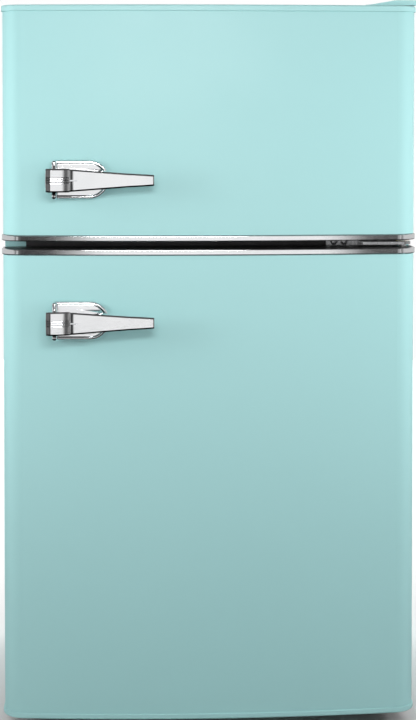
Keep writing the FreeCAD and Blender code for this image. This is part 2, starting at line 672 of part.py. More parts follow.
def refrigerant_lines():
    """Discharge line, condenser outlet, capillary and suction line."""
    rear, ceiling = REAR_Y - 18, NICHE_TOP - SHEET
    dx, dy, dz = DISCHARGE_STUB
    sx, sy, sz = SUCTION_STUB
    inlet_x, x, y = COIL_IN[0], DRIER[0], DRIER[1]
    discharge = [(dx, dy, dz), (-60, dy, dz), (-60, rear, dz), (inlet_x, rear, dz), (inlet_x, rear, 182),
                 (inlet_x, COIL_Y, 182), COIL_IN]
    outlet = [COIL_OUT, (x, COIL_Y, 186), (x, y, 186), (x, y, DRIER_Z[1])]
    capillary = [(x, y, DRIER_Z[0]), (x, y, 88), (x + 28, y, 88), (x + 28, y, ceiling)]
    suction = [(sx, sy, sz), (-62, sy, sz), (-62, sy, ceiling)]
    return [bent_tube(discharge, 12, COIL_R), bent_tube(outlet, 6, COIL_R), bent_tube(capillary, 8, 1.2),
            bent_tube(suction, 14, 4.0)]


# ---------------------------------------------------------------- inside the compartments
GLASS_T = 4.0
GLASS_Y = (FACE_Y + 97, FACE_Y + 326)
EDGE_HALF = 187.5


def glass_shelves():
    """Two toughened glass shelves and the crisper's glass cover."""
    panes = [block((0.5 - CAVITY_HALF, CAVITY_HALF - 0.5), GLASS_Y, (z, z + GLASS_T)) for z in LEDGE_TOPS]
    return [rounded(p, 6.0, Z) for p in panes]


def shelf_trims():
    """Plastic edging pushed onto the front and the rear of each pane."""
    made = []
    for z in LEDGE_TOPS:
        slot = block((-CAVITY_HALF, CAVITY_HALF), GLASS_Y, (z, z + GLASS_T))
        front = block((-EDGE_HALF, EDGE_HALF), (GLASS_Y[0] - 4, GLASS_Y[0] + 8), (z - 2, z + GLASS_T + 2))
        rear = block((-EDGE_HALF, EDGE_HALF), (GLASS_Y[1] - 8, GLASS_Y[1] + 3), (z - 2, z + GLASS_T + 8))
        made += [cut(rounded(front, 2.0, X), slot), cut(rounded(rear, 1.5, X), slot)]
    return made


def freezer_shelf():
    """Coated wire shelf: a rectangular frame with fine wires across it."""
    z, heavy, fine = FREEZER_LEDGE_TOP + 2.5, 2.5, 1.2
    y = (FACE_Y + 95, FACE_Y + 330)
    half = CAVITY_HALF - 5
    frame = [rod(heavy, (-half, at, z), X, 2 * half) for at in (y[0], (y[0] + y[1]) / 2, y[1])]
    frame += [rod(heavy, (x, y[0], z), Y, y[1] - y[0]) for x in (-half, half)]
    frame += [Part.makeSphere(heavy, V(x, at, z)) for x in (-half, half) for at in y]
    lift = z + heavy - 0.4
    wires = [rod(fine, (-half + 2 * half * (i + 1) / 28, y[0] - 1, lift), Y, y[1] - y[0] + 2)
             for i in range(27)]
    return fuse(frame[0], *frame[1:], *wires)


HOUSING_X = (56.0, 180.0)
HOUSING_Y = (FACE_Y + 32, FACE_Y + 196)
HOUSING_Z = (515.0, FRESH[1])
DIAL = (96.0, 533.0)
DIAL_R = 13.0
PLUNGER = (162.0, 527.0)
PLUNGER_R = 3.5
LENS_X = (70.0, 166.0)
LENS_Y = (FACE_Y + 84, FACE_Y + 180)


def thermostat_housing():
    """Ceiling box for the thermostat, the lamp and its door switch."""
    outer = rounded(block(HOUSING_X, HOUSING_Y, HOUSING_Z), 8.0, Z)
    bottom = [e for e in outer.Edges if e.BoundBox.ZMax < HOUSING_Z[0] + 0.1]
    outer = outer.makeFillet(3.0, bottom)
    inner = block((HOUSING_X[0] + 2, HOUSING_X[1] - 2), (HOUSING_Y[0] + 2.5, HOUSING_Y[1] - 2),
                  (HOUSING_Z[0] + 2, HOUSING_Z[1] + 1))
    lens_hole = block(LENS_X, LENS_Y, (HOUSING_Z[0] - 1, HOUSING_Z[0] + 3))
    return cut(outer, rounded(inner, 6.0, Z), lens_hole,
               rod(3.0 + RUNNING, (DIAL[0], HOUSING_Y[0] - 1, DIAL[1]), Y, 10),
               rod(PLUNGER_R + RUNNING, (PLUNGER[0], HOUSING_Y[0] - 1, PLUNGER[1]), Y, 10))


def lamp_lens():
    """Ribbed diffuser snapped in the housing's floor."""
    z = HOUSING_Z[0]
    pane = block((LENS_X[0], LENS_X[1]), (LENS_Y[0], LENS_Y[1]), (z, z + 2))
    ribs = [block((LENS_X[0] + 4, LENS_X[1] - 4), (y, y + 2), (z - 1, z)) for y in
            [LENS_Y[0] + 6 + 8 * i for i in range(11)]]
    return fuse(pane, *ribs)


def thermostat_dial():
    """Fluted knob on a short spindle, with a raised pointer."""
    x, z = DIAL
    front, back = HOUSING_Y[0] - 11.5, HOUSING_Y[0] - 0.6
    knob = rod(DIAL_R, (x, front, z), Y, back - front)
    knob = knob.makeFillet(1.5, [min(knob.Edges, key=lambda e: e.CenterOfMass.y if e.Closed else 0)])
    flutes = [rod(1.6, (x + (DIAL_R + 0.5) * math.cos(a), front - 1, z + (DIAL_R + 0.5) * math.sin(a)), Y, 20)
              for a in [math.tau * i / 18 for i in range(18)] if abs(a - math.pi / 2) > 0.2]
    pointer = block((x - 0.8, x + 0.8), (front - 0.8, front + 1), (z + 3, z + DIAL_R - 1.5))
    return fuse(cut(knob, *flutes), pointer, rod(3.0, (x, back - 1, z), Y, 9))


def switch_plunger():
    """Lamp switch button that the door's raised border holds in."""
    x, z = PLUNGER
    front = FACE_Y + RIDGE_REACH + 0.5
    button = rod(PLUNGER_R, (x, front, z), Y, HOUSING_Y[0] + 16 - front)
    return button.makeFillet(1.2, [min(button.Edges, key=lambda e: e.CenterOfMass.y if e.Closed else 0)])


CRISPER_HALF = 186.0
CRISPER_Y = (FACE_Y + 92, HUMP_Y - 3)
CRISPER_Z = (75.0, 234.0)


def crisper_drawer():
    """Deep clear drawer with a finger lip along the top of its front and two glide ribs below."""
    box = tray((-CRISPER_HALF, CRISPER_HALF), CRISPER_Y, CRISPER_Z, 2.2, 10.0)
    lip = block((-90, 90), (CRISPER_Y[0] - 6, CRISPER_Y[0] + 1), (CRISPER_Z[1] - 22, CRISPER_Z[1] - 18))
    turn = block((-90, 90), (CRISPER_Y[0] - 6, CRISPER_Y[0] - 4), (CRISPER_Z[1] - 30, CRISPER_Z[1] - 18))
    glide_y = (CRISPER_Y[0] + 14, CRISPER_Y[1] - 14)
    glides = [block((x - 3, x + 3), glide_y, (FRESH[0] + 0.4, CRISPER_Z[0] + 1)) for x in (-150, 150)]
    return fuse(box, lip, turn, *glides)


# ---------------------------------------------------------------- doors
RETURN_W = 10.6
LINER_HALF = HALF_W - RETURN_W - 0.4
GASKET_HALF = 222.0
GASKET_W = 14.0
GASKET_FRONT = 1.2          # gasket's sealing face ahead of the flange
GASKET_MARGIN = 8.0
BACK_Y = FACE_Y - DOOR_BACK
BLACK_INSET = -1.0


class Door:
    """Heights that differ between the two doors."""

    def __init__(self, name, z, cavity, lip_low, lip_high):
        self.name, self.z, self.cavity = name, z, cavity
        self.skin = (z[0] + lip_low, z[1] - lip_high)
        self.plug_low = 14.0 if name == "freezer" else BASE_CAP_H + PLUG_H
        self.plug_high = 14.0 if name == "fridge" else TOP_CAP_H + PLUG_H
        self.inner = (z[0] + self.plug_low, z[1] - self.plug_high)
        self.ridge = (cavity[0] + RIDGE_MARGIN, cavity[1] - RIDGE_MARGIN)


UPPER = Door("freezer", UPPER_DOOR, FREEZER, TRIM_H, TOP_CAP_H)
LOWER = Door("fridge", LOWER_DOOR, FRESH, BASE_CAP_H, TRIM_H)


def door_skin(door):
    """Painted sheet: bowed front, sides and a narrow return all round the back edge."""
    inner = door_slab(-SHEET, (door.skin[0] - 1, door.skin[1] + 1), BACK_Y - SHEET)
    opening = block((RETURN_W - HALF_W, HALF_W - RETURN_W), (BACK_Y - 5, BACK_Y + 5),
                    (door.skin[0] - 1, door.skin[1] + 1))
    return cut(door_slab(0, door.skin), inner, opening)


def lip_edges(shape, z):
    """The long outline edges of a cap or a band at one height, without the flat back."""
    return [e for e in shape.Edges if abs(e.BoundBox.ZMax - z) < 0.01 and abs(e.BoundBox.ZMin - z) < 0.01
            and e.BoundBox.YMin < BACK_Y - 1]


def painted_cap(door, at_top):
    """End cap in the door's colour: a rounded lip outside and a plug inside the skin."""
    low, high = door.z
    if at_top:
        lip = (high - TOP_CAP_H + CAP_REVEAL, high)
        plug = (high - TOP_CAP_H - PLUG_H, lip[0])
    else:
        lip = (low, low + BASE_CAP_H)
        plug = (lip[1], low + BASE_CAP_H + PLUG_H)
    body = door_slab(PROUD, lip)
    body = body.makeFillet(2.2, lip_edges(body, high if at_top else low))
    body = body.makeFillet(0.7 if at_top else 1.2, lip_edges(body, lip[0] if at_top else lip[1]))
    body = fuse(body, door_slab(-SHEET, plug, BACK_Y - SHEET))
    return body.cut(bush_hole(door, at_top))


def dark_cap(door, at_top):
    """Dark end cap behind a chrome band, at the edge that faces the other door."""
    low, high = door.z
    z = (high - 14, high) if at_top else (low, low + 14)
    return door_slab(BLACK_INSET, z, BACK_Y - SHEET).cut(bush_hole(door, at_top))


def bush_hole(door, at_top):
    low, high = door.z
    return pin((high - 13, high + 1) if at_top else (low - 1, low + 13), BUSH_R)


def chrome_band(door, at_top):
    """Bright band wrapped round three sides of the door's edge."""
    low, high = door.z
    z = (high - TRIM_H + REVEAL, high) if at_top else (low, low + TRIM_H - REVEAL)
    body = door_slab(PROUD, z, BACK_Y)
    for edge_z in z:
        body = body.makeFillet(1.1, lip_edges(body, edge_z))
    inner = door_slab(BLACK_INSET, (z[0] - 1, z[1] + 1), BACK_Y + 5)
    return body.cut(inner)


def door_bushes(door):
    """Plastic bearings for the hinge pins, the lower one with a thrust flange on its bracket."""
    low, high = door.z
    seat = BOTTOM_PLATE[1] if door is LOWER else MID_PLATE[1]
    flange = low - seat - 0.3
    bore_low = pin((low - 5, low + 20), PIN_R + RUNNING)
    bore_high = pin((high - 20, high + 5), PIN_R + RUNNING)
    bottom = fuse(pin((low, low + 13), BUSH_R), pin((low - flange, low), BUSH_R + 2))
    return [bottom.cut(bore_low), pin((high - 13, high), BUSH_R).cut(bore_high)]


def ridge_ring(door, inset, y):
    low, high = door.ridge
    return ring(RIDGE_HALF - inset, (low + inset, high - inset), RIDGE_W - 2 * inset, y)


def bin_lug(x_inner, z, grow=0.0):
    """Wedge-free peg on the border's inner face that a bin hangs on."""
    reach = 3.0 + grow
    x = sorted((x_inner, x_inner - math.copysign(reach, x_inner)))
    return block(x, (FACE_Y - 6 - grow, FACE_Y + 10 + grow), (z + 8, z + 20 + grow))


def door_liner(door, bins):
    """Inner panel with a raised hollow border and the pegs for its bins."""
    panel = block((-LINER_HALF, LINER_HALF), (BACK_Y - LINER, BACK_Y), door.inner)
    border = ridge_ring(door, 0, (BACK_Y - LINER, FACE_Y + RIDGE_REACH))
    soft_edges = [e for e in border.Edges if e.BoundBox.YMin > FACE_Y + RIDGE_REACH - 0.1]
    border = border.makeFillet(4.0, soft_edges)
    hollow = ridge_ring(door, LINER, (BACK_Y - LINER - 1, FACE_Y + RIDGE_REACH - LINER))
    inner_x = RIDGE_HALF - RIDGE_W
    pegs = [bin_lug(side * inner_x, z[0]) for z in bins for side in (-1, 1)]
    return cut(fuse(panel, border, *pegs), hollow)


def door_foam(door):
    """Foam core between the skin, the caps and the inner panel, filling the border too."""
    core = door_slab(-SHEET, door.inner, BACK_Y - LINER)
    border = ridge_ring(door, LINER, (BACK_Y - LINER - 1, FACE_Y + RIDGE_REACH - LINER))
    return fuse(core, border)


def gasket(door):
    """Magnetic seal: a hollow bellows with a flat sealing face."""
    z = (door.z[0] + GASKET_MARGIN, door.z[1] - GASKET_MARGIN)
    body = ring(GASKET_HALF, z, GASKET_W, (BACK_Y, FACE_Y - GASKET_FRONT))
    waist = ring(GASKET_HALF + 1, (z[0] - 1, z[1] + 1), 3.4, (BACK_Y + 2.2, BACK_Y + 4.4))
    return body.cut(waist)


BIN_Y = (BACK_Y, FACE_Y + 80)
RACK_Y = (BACK_Y, FACE_Y + 60)
FRIDGE_BINS = [(98.0, 176.0), (250.0, 312.0), (384.0, 446.0)]
FREEZER_RACKS = [(618.0, 668.0), (704.0, 754.0)]


def door_bins(heights, y):
    """Clear bins between the border's two uprights, each slotted over its pegs."""
    made = []
    for z in heights:
        box = tray((-BIN_HALF - 2.5, BIN_HALF + 2.5), y, z, BIN_WALL, 9.0)
        inner_x = RIDGE_HALF - RIDGE_W
        slots = []
        for side in (-1, 1):
            peg = bin_lug(side * inner_x, z[0], 0.3)
            x = sorted((side * (BIN_HALF - 1), side * (inner_x + 1)))
            slots.append(block(x, (peg.BoundBox.YMin, peg.BoundBox.YMax), (z[0] - 1, peg.BoundBox.ZMax)))
        made.append(cut(box, *slots))
    return made


# ---------------------------------------------------------------- handles
BASE_X = (-180.0, -115.5)
BASE_OUT = (67.2, 69.4)     # backplate's face ahead of the flange, at its left and right ends
BASE_RIM = 1.0              # height and width of the rim round that face
BASE_RIM_W = 4.0
BASE_HALF = 22.3
KNUCKLE_X = (-187.0, -160.0)
KNUCKLE_HALF = 13.3
BARREL_R = 64.0             # the knuckle's front is part of a wide barrel
LEVER_END = -64.8
LEVER_OUT = (97.3, 96.5)    # the arm's face ahead of the flange, at its root and tip
LEVER_ROOT_HALF = 12.6
LEVER_TIP_HALF = 6.2
CROSS_PIN_R = 3.1
CROSS_PIN_OUT = 76.0
GROOVE_PITCH = 2.8
GROOVE_HALF = 0.7
GROOVE_DEPTH = 0.75


def plan_solid(points, z):
    """A plan outline, as (x, distance ahead of the flange), extruded between two heights."""
    loop = [V(x, FACE_Y - d, z[0]) for x, d in points]
    return Part.Face(Part.makePolygon(loop + loop[:1])).extrude(V(0, 0, z[1] - z[0]))


def bullet(z, inset, y):
    """The backplate's front outline: square at the left and round at the right."""
    low, high = z - BASE_HALF + inset, z + BASE_HALF - inset
    left, right = BASE_X[0] + inset, BASE_X[1] - inset
    shoulder = right - (high - low) * 0.5
    start = V(left, y[0], low)
    edges = [
        Part.LineSegment(start, V(shoulder, y[0], low)).toShape(),
        Part.Arc(V(shoulder, y[0], low), V(right, y[0], z), V(shoulder, y[0], high)).toShape(),
        Part.LineSegment(V(shoulder, y[0], high), V(left, y[0], high)).toShape(),
        Part.LineSegment(V(left, y[0], high), start).toShape(),
    ]
    return Part.Face(Part.Wire(edges)).extrude(V(0, y[1] - y[0], 0))


def base_layer(rise, z):
    """The space between the door's bow and the backplate's flat face, or a little over that face."""
    left, right = BASE_X[0] - 1, BASE_X[1] + 1
    slab = plan_solid([(left, BASE_OUT[0] + rise), (right, BASE_OUT[1] + rise), (right, 50), (left, 50)], z)
    return slab.cut(door_slab(0, (z[0] - 1, z[1] + 1), FACE_Y - 30))


def handle_base(door):
    """Bright backplate seated on the door's bow, with a flat face and a raised rim."""
    z = HANDLE_Z[door.name]
    tall = (z - BASE_HALF - 1, z + BASE_HALF + 1)
    y = (FACE_Y - FRONT_REACH, FACE_Y - 50)
    plate = bullet(z, 0, y).common(base_layer(0, tall))
    rim = bullet(z, 0, y).cut(bullet(z, BASE_RIM_W, (y[0] - 1, y[1] + 1))).common(base_layer(BASE_RIM, tall))
    return fuse(plate, rim)


def knuckle_front():
    """The knuckle's front in plan: a flat bevel at the left, then the barrel."""
    left, right = KNUCKLE_X
    crest = left + 4.8
    barrel = [(x, FRONT_REACH - (x - crest) ** 2 / (2 * BARREL_R))
              for x in [crest + (right - crest) * i / 4 for i in range(5)]]
    return [(left, 98.9), (left + 4, 99.8)] + barrel


def lever_plan():
    """The lever seen from above."""
    left = KNUCKLE_X[0]
    return knuckle_front() + [
        (KNUCKLE_X[1] + 1, LEVER_OUT[0]), (LEVER_END - 2, LEVER_OUT[1]), (LEVER_END, 95.9),
        (LEVER_END - 1.5, 89.5), (-105, 87.0), (-123, 84.0), (-137, 77.5), (-145, 68.0),
        (-163, 65.0), (-183, 66.0), (left, 69.0),
    ]


def handle_lever(door):
    """Fixed latch-style lever: a grooved knuckle on the cross pin and a tapering arm."""
    z = HANDLE_Z[door.name]
    body = plan_solid(lever_plan(), (z - KNUCKLE_HALF, z + KNUCKLE_HALF))
    step = KNUCKLE_X[1] + 1
    front = [(KNUCKLE_X[0] - 1, KNUCKLE_HALF), (step - 2, KNUCKLE_HALF), (step, LEVER_ROOT_HALF),
             (LEVER_END - 5, LEVER_TIP_HALF + 0.4), (LEVER_END + 1, LEVER_TIP_HALF - 2.0)]
    outline = [V(x, 0, z + h) for x, h in front] + [V(x, 0, z - h) for x, h in front[::-1]]
    taper = Part.Face(Part.makePolygon(outline + outline[:1]))
    taper.translate(V(0, FACE_Y - FRONT_REACH - 5, 0))
    body = body.common(taper.extrude(V(0, 60, 0)))
    crest = [(KNUCKLE_X[0] - 1, 98.7)] + knuckle_front()
    channel = [(x, d + 1) for x, d in crest] + [(x, d - GROOVE_DEPTH) for x, d in crest[::-1]]
    grooves = [plan_solid(channel, (z + k * GROOVE_PITCH - GROOVE_HALF, z + k * GROOVE_PITCH + GROOVE_HALF))
               for k in (-1, 0, 1)]
    notch = block((step - 1, step + 8), (FACE_Y - FRONT_REACH - 1, FACE_Y - 96.4), (z - 0.8, z + 0.8))
    bore = rod(CROSS_PIN_R, (HANDLE_X, FACE_Y - CROSS_PIN_OUT, z - 40), Z, 80)
    return cut(body, *grooves, notch, bore, handle_base(door), door_slab(0, (z - 40, z + 40)))


def handle_pin(door):
    """Cross pin with domed ends through the knuckle."""
    z = HANDLE_Z[door.name]
    straight = BASE_HALF - CROSS_PIN_R
    centre = (HANDLE_X, FACE_Y - CROSS_PIN_OUT)
    shaft = rod(CROSS_PIN_R, (*centre, z - straight), Z, 2 * straight)
    return fuse(shaft, *[Part.makeSphere(CROSS_PIN_R, V(*centre, z + s * straight)) for s in (-1, 1)])


# ---------------------------------------------------------------- every node
def main():
    os.makedirs("parts", exist_ok=True)
    save("outer_shell", outer_shell())
    save("rear_panel", rear_panel())
    save("base_plate", base_plate())
    save("compressor_plate", compressor_plate())
    save("cabinet_foam", cabinet_foam())
    save("freezer_liner", freezer_liner())
    save("fridge_liner", fridge_liner())
    save("mullion_cover", mullion_cover())
    save("top_hinge_bracket", top_hinge_bracket())
    save("top_hinge_cover", top_hinge_cover())
    save("middle_hinge_bracket", middle_hinge_bracket())
    save("bottom_hinge_bracket", bottom_hinge_bracket())
    save("hinge_screws", *hinge_screws())
    save("hinge_hole_plugs", *hinge_hole_plugs())
    save("rear_feet", *rear_feet())
    save("compressor", compressor())
    save("compressor_grommets", *compressor_grommets())
    save("relay_cover", relay_cover())
    save("evaporation_tray", evaporation_tray())
    save("condenser_tube", condenser_tube())
    save("condenser_wires", *condenser_wires())
    save("condenser_brackets", *condenser_brackets())
    save("filter_drier", filter_drier())
    save("refrigerant_lines", *refrigerant_lines())
    save("cord_gland", cord_gland())
    save("evaporator_plate", evaporator_plate())
    save("freezer_shelf", freezer_shelf())
    save("glass_shelves", *glass_shelves())
    save("shelf_trims", *shelf_trims())
    save("thermostat_housing", thermostat_housing())
    save("lamp_lens", lamp_lens())
    save("thermostat_dial", thermostat_dial())
    save("switch_plunger", switch_plunger())
    save("crisper_drawer", crisper_drawer())
    for side, x in zip(("left", "right"), FOOT_XS):
        save("front_foot_" + side, front_foot(x))
    for door, bins in ((UPPER, FREEZER_RACKS), (LOWER, FRIDGE_BINS)):
        name = door.name + "_door_"
        at_top = door is UPPER
        save(name + "skin", door_skin(door))
        save(name + "painted_cap", painted_cap(door, at_top))
        save(name + "dark_cap", dark_cap(door, not at_top))
        save(name + "trim", chrome_band(door, not at_top))
        save(name + "liner", door_liner(door, bins))
        save(name + "foam", door_foam(door))
        save(name + "gasket", gasket(door))
        save(name + "bushes", *door_bushes(door))
        save(door.name + "_handle_base", handle_base(door))
        save(door.name + "_handle_lever", handle_lever(door))
        save(door.name + "_handle_pin", handle_pin(door))
    save("freezer_door_racks", *door_bins(FREEZER_RACKS, RACK_Y))
    save("fridge_door_bins", *door_bins(FRIDGE_BINS, BIN_Y))


main()
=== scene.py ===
"""Looks for the retro top freezer refrigerator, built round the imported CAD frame.

Metres, in the same frame as the CAD: X to the right, Y to the back, Z up, floor at 0.
"""
import math

import bmesh
import bpy
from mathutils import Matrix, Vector


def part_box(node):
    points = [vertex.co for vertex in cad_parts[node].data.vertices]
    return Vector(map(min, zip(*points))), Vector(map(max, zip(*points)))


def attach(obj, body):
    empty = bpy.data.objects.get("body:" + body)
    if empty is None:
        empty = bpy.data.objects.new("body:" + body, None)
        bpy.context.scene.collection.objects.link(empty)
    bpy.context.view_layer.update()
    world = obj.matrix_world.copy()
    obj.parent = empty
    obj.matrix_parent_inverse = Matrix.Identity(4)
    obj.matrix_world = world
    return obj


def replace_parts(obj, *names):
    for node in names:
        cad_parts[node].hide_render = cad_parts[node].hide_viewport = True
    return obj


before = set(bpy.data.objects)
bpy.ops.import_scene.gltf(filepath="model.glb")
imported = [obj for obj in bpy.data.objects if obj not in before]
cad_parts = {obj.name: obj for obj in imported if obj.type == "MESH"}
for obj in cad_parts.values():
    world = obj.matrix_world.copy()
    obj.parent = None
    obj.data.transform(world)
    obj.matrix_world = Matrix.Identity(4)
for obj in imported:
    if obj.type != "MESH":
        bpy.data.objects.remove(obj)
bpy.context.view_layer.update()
scene = bpy.context.scene
MM = 0.001

# ------------------------------------------------------------------ dimensions shared with the CAD
FLANGE_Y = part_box("outer_shell")[0].y   # the cabinet's front flange
BOW_R = 2.0773                          # radius of the doors' bowed fronts
BOW_CREST = 0.0692                      # how far a door's crest stands ahead of the flange
BOW_CENTRE_Y = FLANGE_Y - BOW_CREST + BOW_R


def bow_y(x, out=0.0):
    """The bowed door front at a place across its width, offset outwards."""
    return BOW_CENTRE_Y - math.sqrt((BOW_R + out) ** 2 - x * x)


# ------------------------------------------------------------------ materials
SOFT_STEP = (0.35, 0.65)   # the part of a noise's range that most of its values lie in


class Finish:
    """One Principled material with its noise, colour variation and relief, in metres of object space."""

    def __init__(self, name, color, rough, **sockets):
        self.mat = bpy.data.materials.new(name)
        self.mat.use_nodes = True
        self.tree = self.mat.node_tree
        self.shader = self.tree.nodes["Principled BSDF"]
        self.color, self.rough = color, rough
        self.put("Base Color", (*color, 1))
        self.put("Roughness", rough)
        for key, value in sockets.items():
            self.put(key.replace("_", " ").title().replace("Ior", "IOR"), value)
        self.space = self.add("TexCoord").outputs["Object"]
        self.normal = None

    def add(self, kind, **settings):
        node = self.tree.nodes.new("ShaderNode" + kind)
        for key, value in settings.items():
            if key in node.inputs:
                node.inputs[key].default_value = value
            else:
                setattr(node, key, value)
        return node

    def put(self, socket, value):
        self.shader.inputs[socket].default_value = value

    def link(self, a, b):
        self.tree.links.new(a, b)

    def noise(self, scale, detail=2.0, stretch=(1, 1, 1)):
        """Cloudy values between 0 and 1, which a stretch draws out along one axis."""
        place = self.add("Mapping")
        place.inputs["Scale"].default_value = stretch
        self.link(self.space, place.inputs["Vector"])
        made = self.add("TexNoise", Scale=scale, Detail=detail, Roughness=0.5)
        self.link(place.outputs[0], made.inputs["Vector"])
        return made.outputs["Fac"]

    def cells(self, scale, output="Distance"):
        """A cell pattern: the distance from each cell's middle, or one flat colour per cell."""
        made = self.add("TexVoronoi", Scale=scale)
        self.link(self.space, made.inputs["Vector"])
        return made.outputs[output]

    def ramp(self, source, low, high, at=SOFT_STEP):
        """Runs from low to high where the source crosses the two given values."""
        made = self.add("MapRange")
        made.inputs["From Min"].default_value = at[0]
        made.inputs["From Max"].default_value = at[1]
        made.inputs["To Min"].default_value = low
        made.inputs["To Max"].default_value = high
        self.link(source, made.inputs["Value"])
        return made.outputs["Result"]

    def tint(self, source, other, share=1.0, at=SOFT_STEP):
        """Base colour drifts towards another colour where the source is high."""
        mix = self.add("Mix", data_type="RGBA")
        before = self.shader.inputs["Base Color"]
        if before.is_linked:
            self.link(before.links[0].from_socket, mix.inputs[6])
        else:
            mix.inputs[6].default_value = (*self.color, 1)
        mix.inputs[7].default_value = (*other, 1)
        self.link(self.ramp(source, 0.0, share, at), mix.inputs[0])
        self.link(mix.outputs[2], before)
        return self

    def gloss(self, source, low, high, at=SOFT_STEP):
        """Roughness between two values, led by the source."""
        self.link(self.ramp(source, low, high, at), self.shader.inputs["Roughness"])
        return self

    def relief(self, source, height, strength=1.0):
        """Fine bumps of the given height in metres, on top of any earlier ones."""
        bump = self.add("Bump", Strength=strength, Distance=height)
        self.link(source, bump.inputs["Height"])
        if self.normal:
            self.link(self.normal, bump.inputs["Normal"])
        self.normal = bump.outputs["Normal"]
        self.link(self.normal, self.shader.inputs["Normal"])
        return self


def paint(name, color, shade):
    """Baked gloss paint: soft orange peel and faint dust in the gloss."""
    made = Finish(name, color, 0.42, coat_weight=0.05, coat_roughness=0.25, specular_ior_level=0.32)
    made.tint(made.noise(2.3, 2.0), shade, 0.5)
    made.gloss(made.noise(14.0, 5.0), 0.42, 0.50)
    return made.relief(made.noise(420.0, 1.5), 0.00002, 0.5)


def moulded(name, color, rough, shade, grain=0.000025, **sockets):
    """Injection moulded plastic with a fine spark-eroded grain."""
    made = Finish(name, color, rough, **sockets)
    made.tint(made.noise(9.0, 3.0), shade, 0.6)
    made.gloss(made.noise(60.0, 4.0), rough - 0.05, rough + 0.06)
    return made.relief(made.noise(2200.0, 2.0), grain, 0.5)


def metal(name, color, rough, shade, stretch, **sockets):
    """Metal with drawn scratches that follow one direction."""
    made = Finish(name, color, rough, metallic=1.0, **sockets)
    made.tint(made.noise(35.0, 4.0), shade, 0.5)
    made.gloss(made.noise(160.0, 6.0, stretch), rough * 0.75, rough * 1.35)
    return made.relief(made.noise(900.0, 3.0, stretch), 0.000006, 0.35)


def clear(name, color, rough, ior, grain, alpha):
    """See-through plastic or glass; the alpha lets some light straight through to what is behind."""
    made = Finish(name, color, rough, transmission_weight=1.0, ior=ior, alpha=alpha)
    made.gloss(made.noise(45.0, 3.0), max(rough - 0.02, 0.0), rough + 0.04)
    return made.relief(made.noise(90.0, 2.0), grain, 0.4)


MINT = (0.385, 0.665, 0.668)
MINT_SHADE = (0.370, 0.650, 0.655)
FINISH = {
    "cabinet_paint": paint("cabinet_paint", MINT, MINT_SHADE),
    "door_paint": paint("door_paint", MINT, MINT_SHADE),
    "cap_paint": paint("cap_paint", (0.395, 0.675, 0.678), MINT_SHADE),
    "rear_paint": moulded("rear_paint", (0.36, 0.37, 0.38), 0.5, (0.32, 0.33, 0.34), 0.00003),
    "white_plastic": moulded("white_plastic", (0.80, 0.81, 0.81), 0.34, (0.76, 0.775, 0.78), 0.000012,
                             subsurface_weight=0.05, subsurface_scale=0.004),
    "dark_plastic": moulded("dark_plastic", (0.036, 0.036, 0.038), 0.38, (0.048, 0.048, 0.05), 0.00003),
    "chrome": metal("chrome", (0.90, 0.905, 0.915), 0.10, (0.84, 0.85, 0.865), (1, 1, 9)),
    "zinc_steel": metal("zinc_steel", (0.62, 0.63, 0.64), 0.32, (0.52, 0.53, 0.55), (6, 1, 1)),
    "copper": metal("copper", (0.72, 0.33, 0.20), 0.30, (0.40, 0.19, 0.12), (1, 1, 5)),
    "evaporator_metal": metal("evaporator_metal", (0.75, 0.76, 0.77), 0.35, (0.66, 0.67, 0.69), (1, 9, 1)),
    "coated_wire": moulded("coated_wire", (0.84, 0.84, 0.83), 0.3, (0.79, 0.79, 0.78), 0.00004),
    "nylon": moulded("nylon", (0.78, 0.76, 0.70), 0.4, (0.72, 0.70, 0.63), 0.00001,
                     subsurface_weight=0.1, subsurface_scale=0.003),
    "clear_plastic": clear("clear_plastic", (0.96, 0.98, 0.985), 0.05, 1.38, 0.00003, 0.5),
    "glass": clear("glass", (0.90, 0.975, 0.95), 0.0, 1.45, 0.00001, 0.5),
    "lens_plastic": clear("lens_plastic", (0.97, 0.97, 0.95), 0.35, 1.49, 0.00006, 0.9),
}


def black_enamel():
    """Dipped black enamel with a little grey dust."""
    made = Finish("black_enamel", (0.014, 0.014, 0.015), 0.33, coat_weight=0.3, coat_roughness=0.15)
    made.tint(made.noise(40.0, 5.0), (0.035, 0.034, 0.033), 0.8, (0.5, 0.75))
    made.gloss(made.noise(90.0, 4.0), 0.26, 0.5)
    return made.relief(made.noise(520.0, 2.0), 0.00006, 0.6)


def galvanised():
    """Zinc spangle: flat crystals that each take the light a little differently."""
    made = Finish("galvanised_sheet", (0.56, 0.57, 0.58), 0.4, metallic=1.0)
    made.tint(made.cells(130.0, output="Color"), (0.44, 0.45, 0.47), 0.9, (0.2, 0.8))
    made.gloss(made.cells(130.0), 0.3, 0.5, (0.0, 0.8))
    return made.relief(made.noise(400.0, 3.0), 0.00001, 0.4)


def rubber(name, color, shade):
    """Soft vinyl or rubber with a fine matt skin."""
    made = Finish(name, color, 0.62, specular_ior_level=0.35)
    made.tint(made.noise(30.0, 4.0), shade, 0.7)
    made.gloss(made.noise(80.0, 4.0), 0.55, 0.72)
    return made.relief(made.noise(1500.0, 3.0), 0.00003, 0.5)


def foam():
    """Pale yellow foam with fine cells."""
    made = Finish("foam", (0.78, 0.68, 0.42), 0.9)
    made.tint(made.noise(70.0, 5.0), (0.66, 0.55, 0.30), 0.9)
    return made.relief(made.cells(600.0), 0.0003, 0.7)


FINISH["black_enamel"] = black_enamel()
FINISH["galvanised_sheet"] = galvanised()
FINISH["gasket_rubber"] = rubber("gasket_rubber", (0.42, 0.43, 0.43), (0.36, 0.37, 0.37))
FINISH["grommet_rubber"] = rubber("grommet_rubber", (0.02, 0.02, 0.02), (0.04, 0.04, 0.038))
FINISH["foam"] = foam()

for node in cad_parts.values():
    for held in node.material_slots:
        held.material = FINISH[held.material.name.split(".")[0]].mat


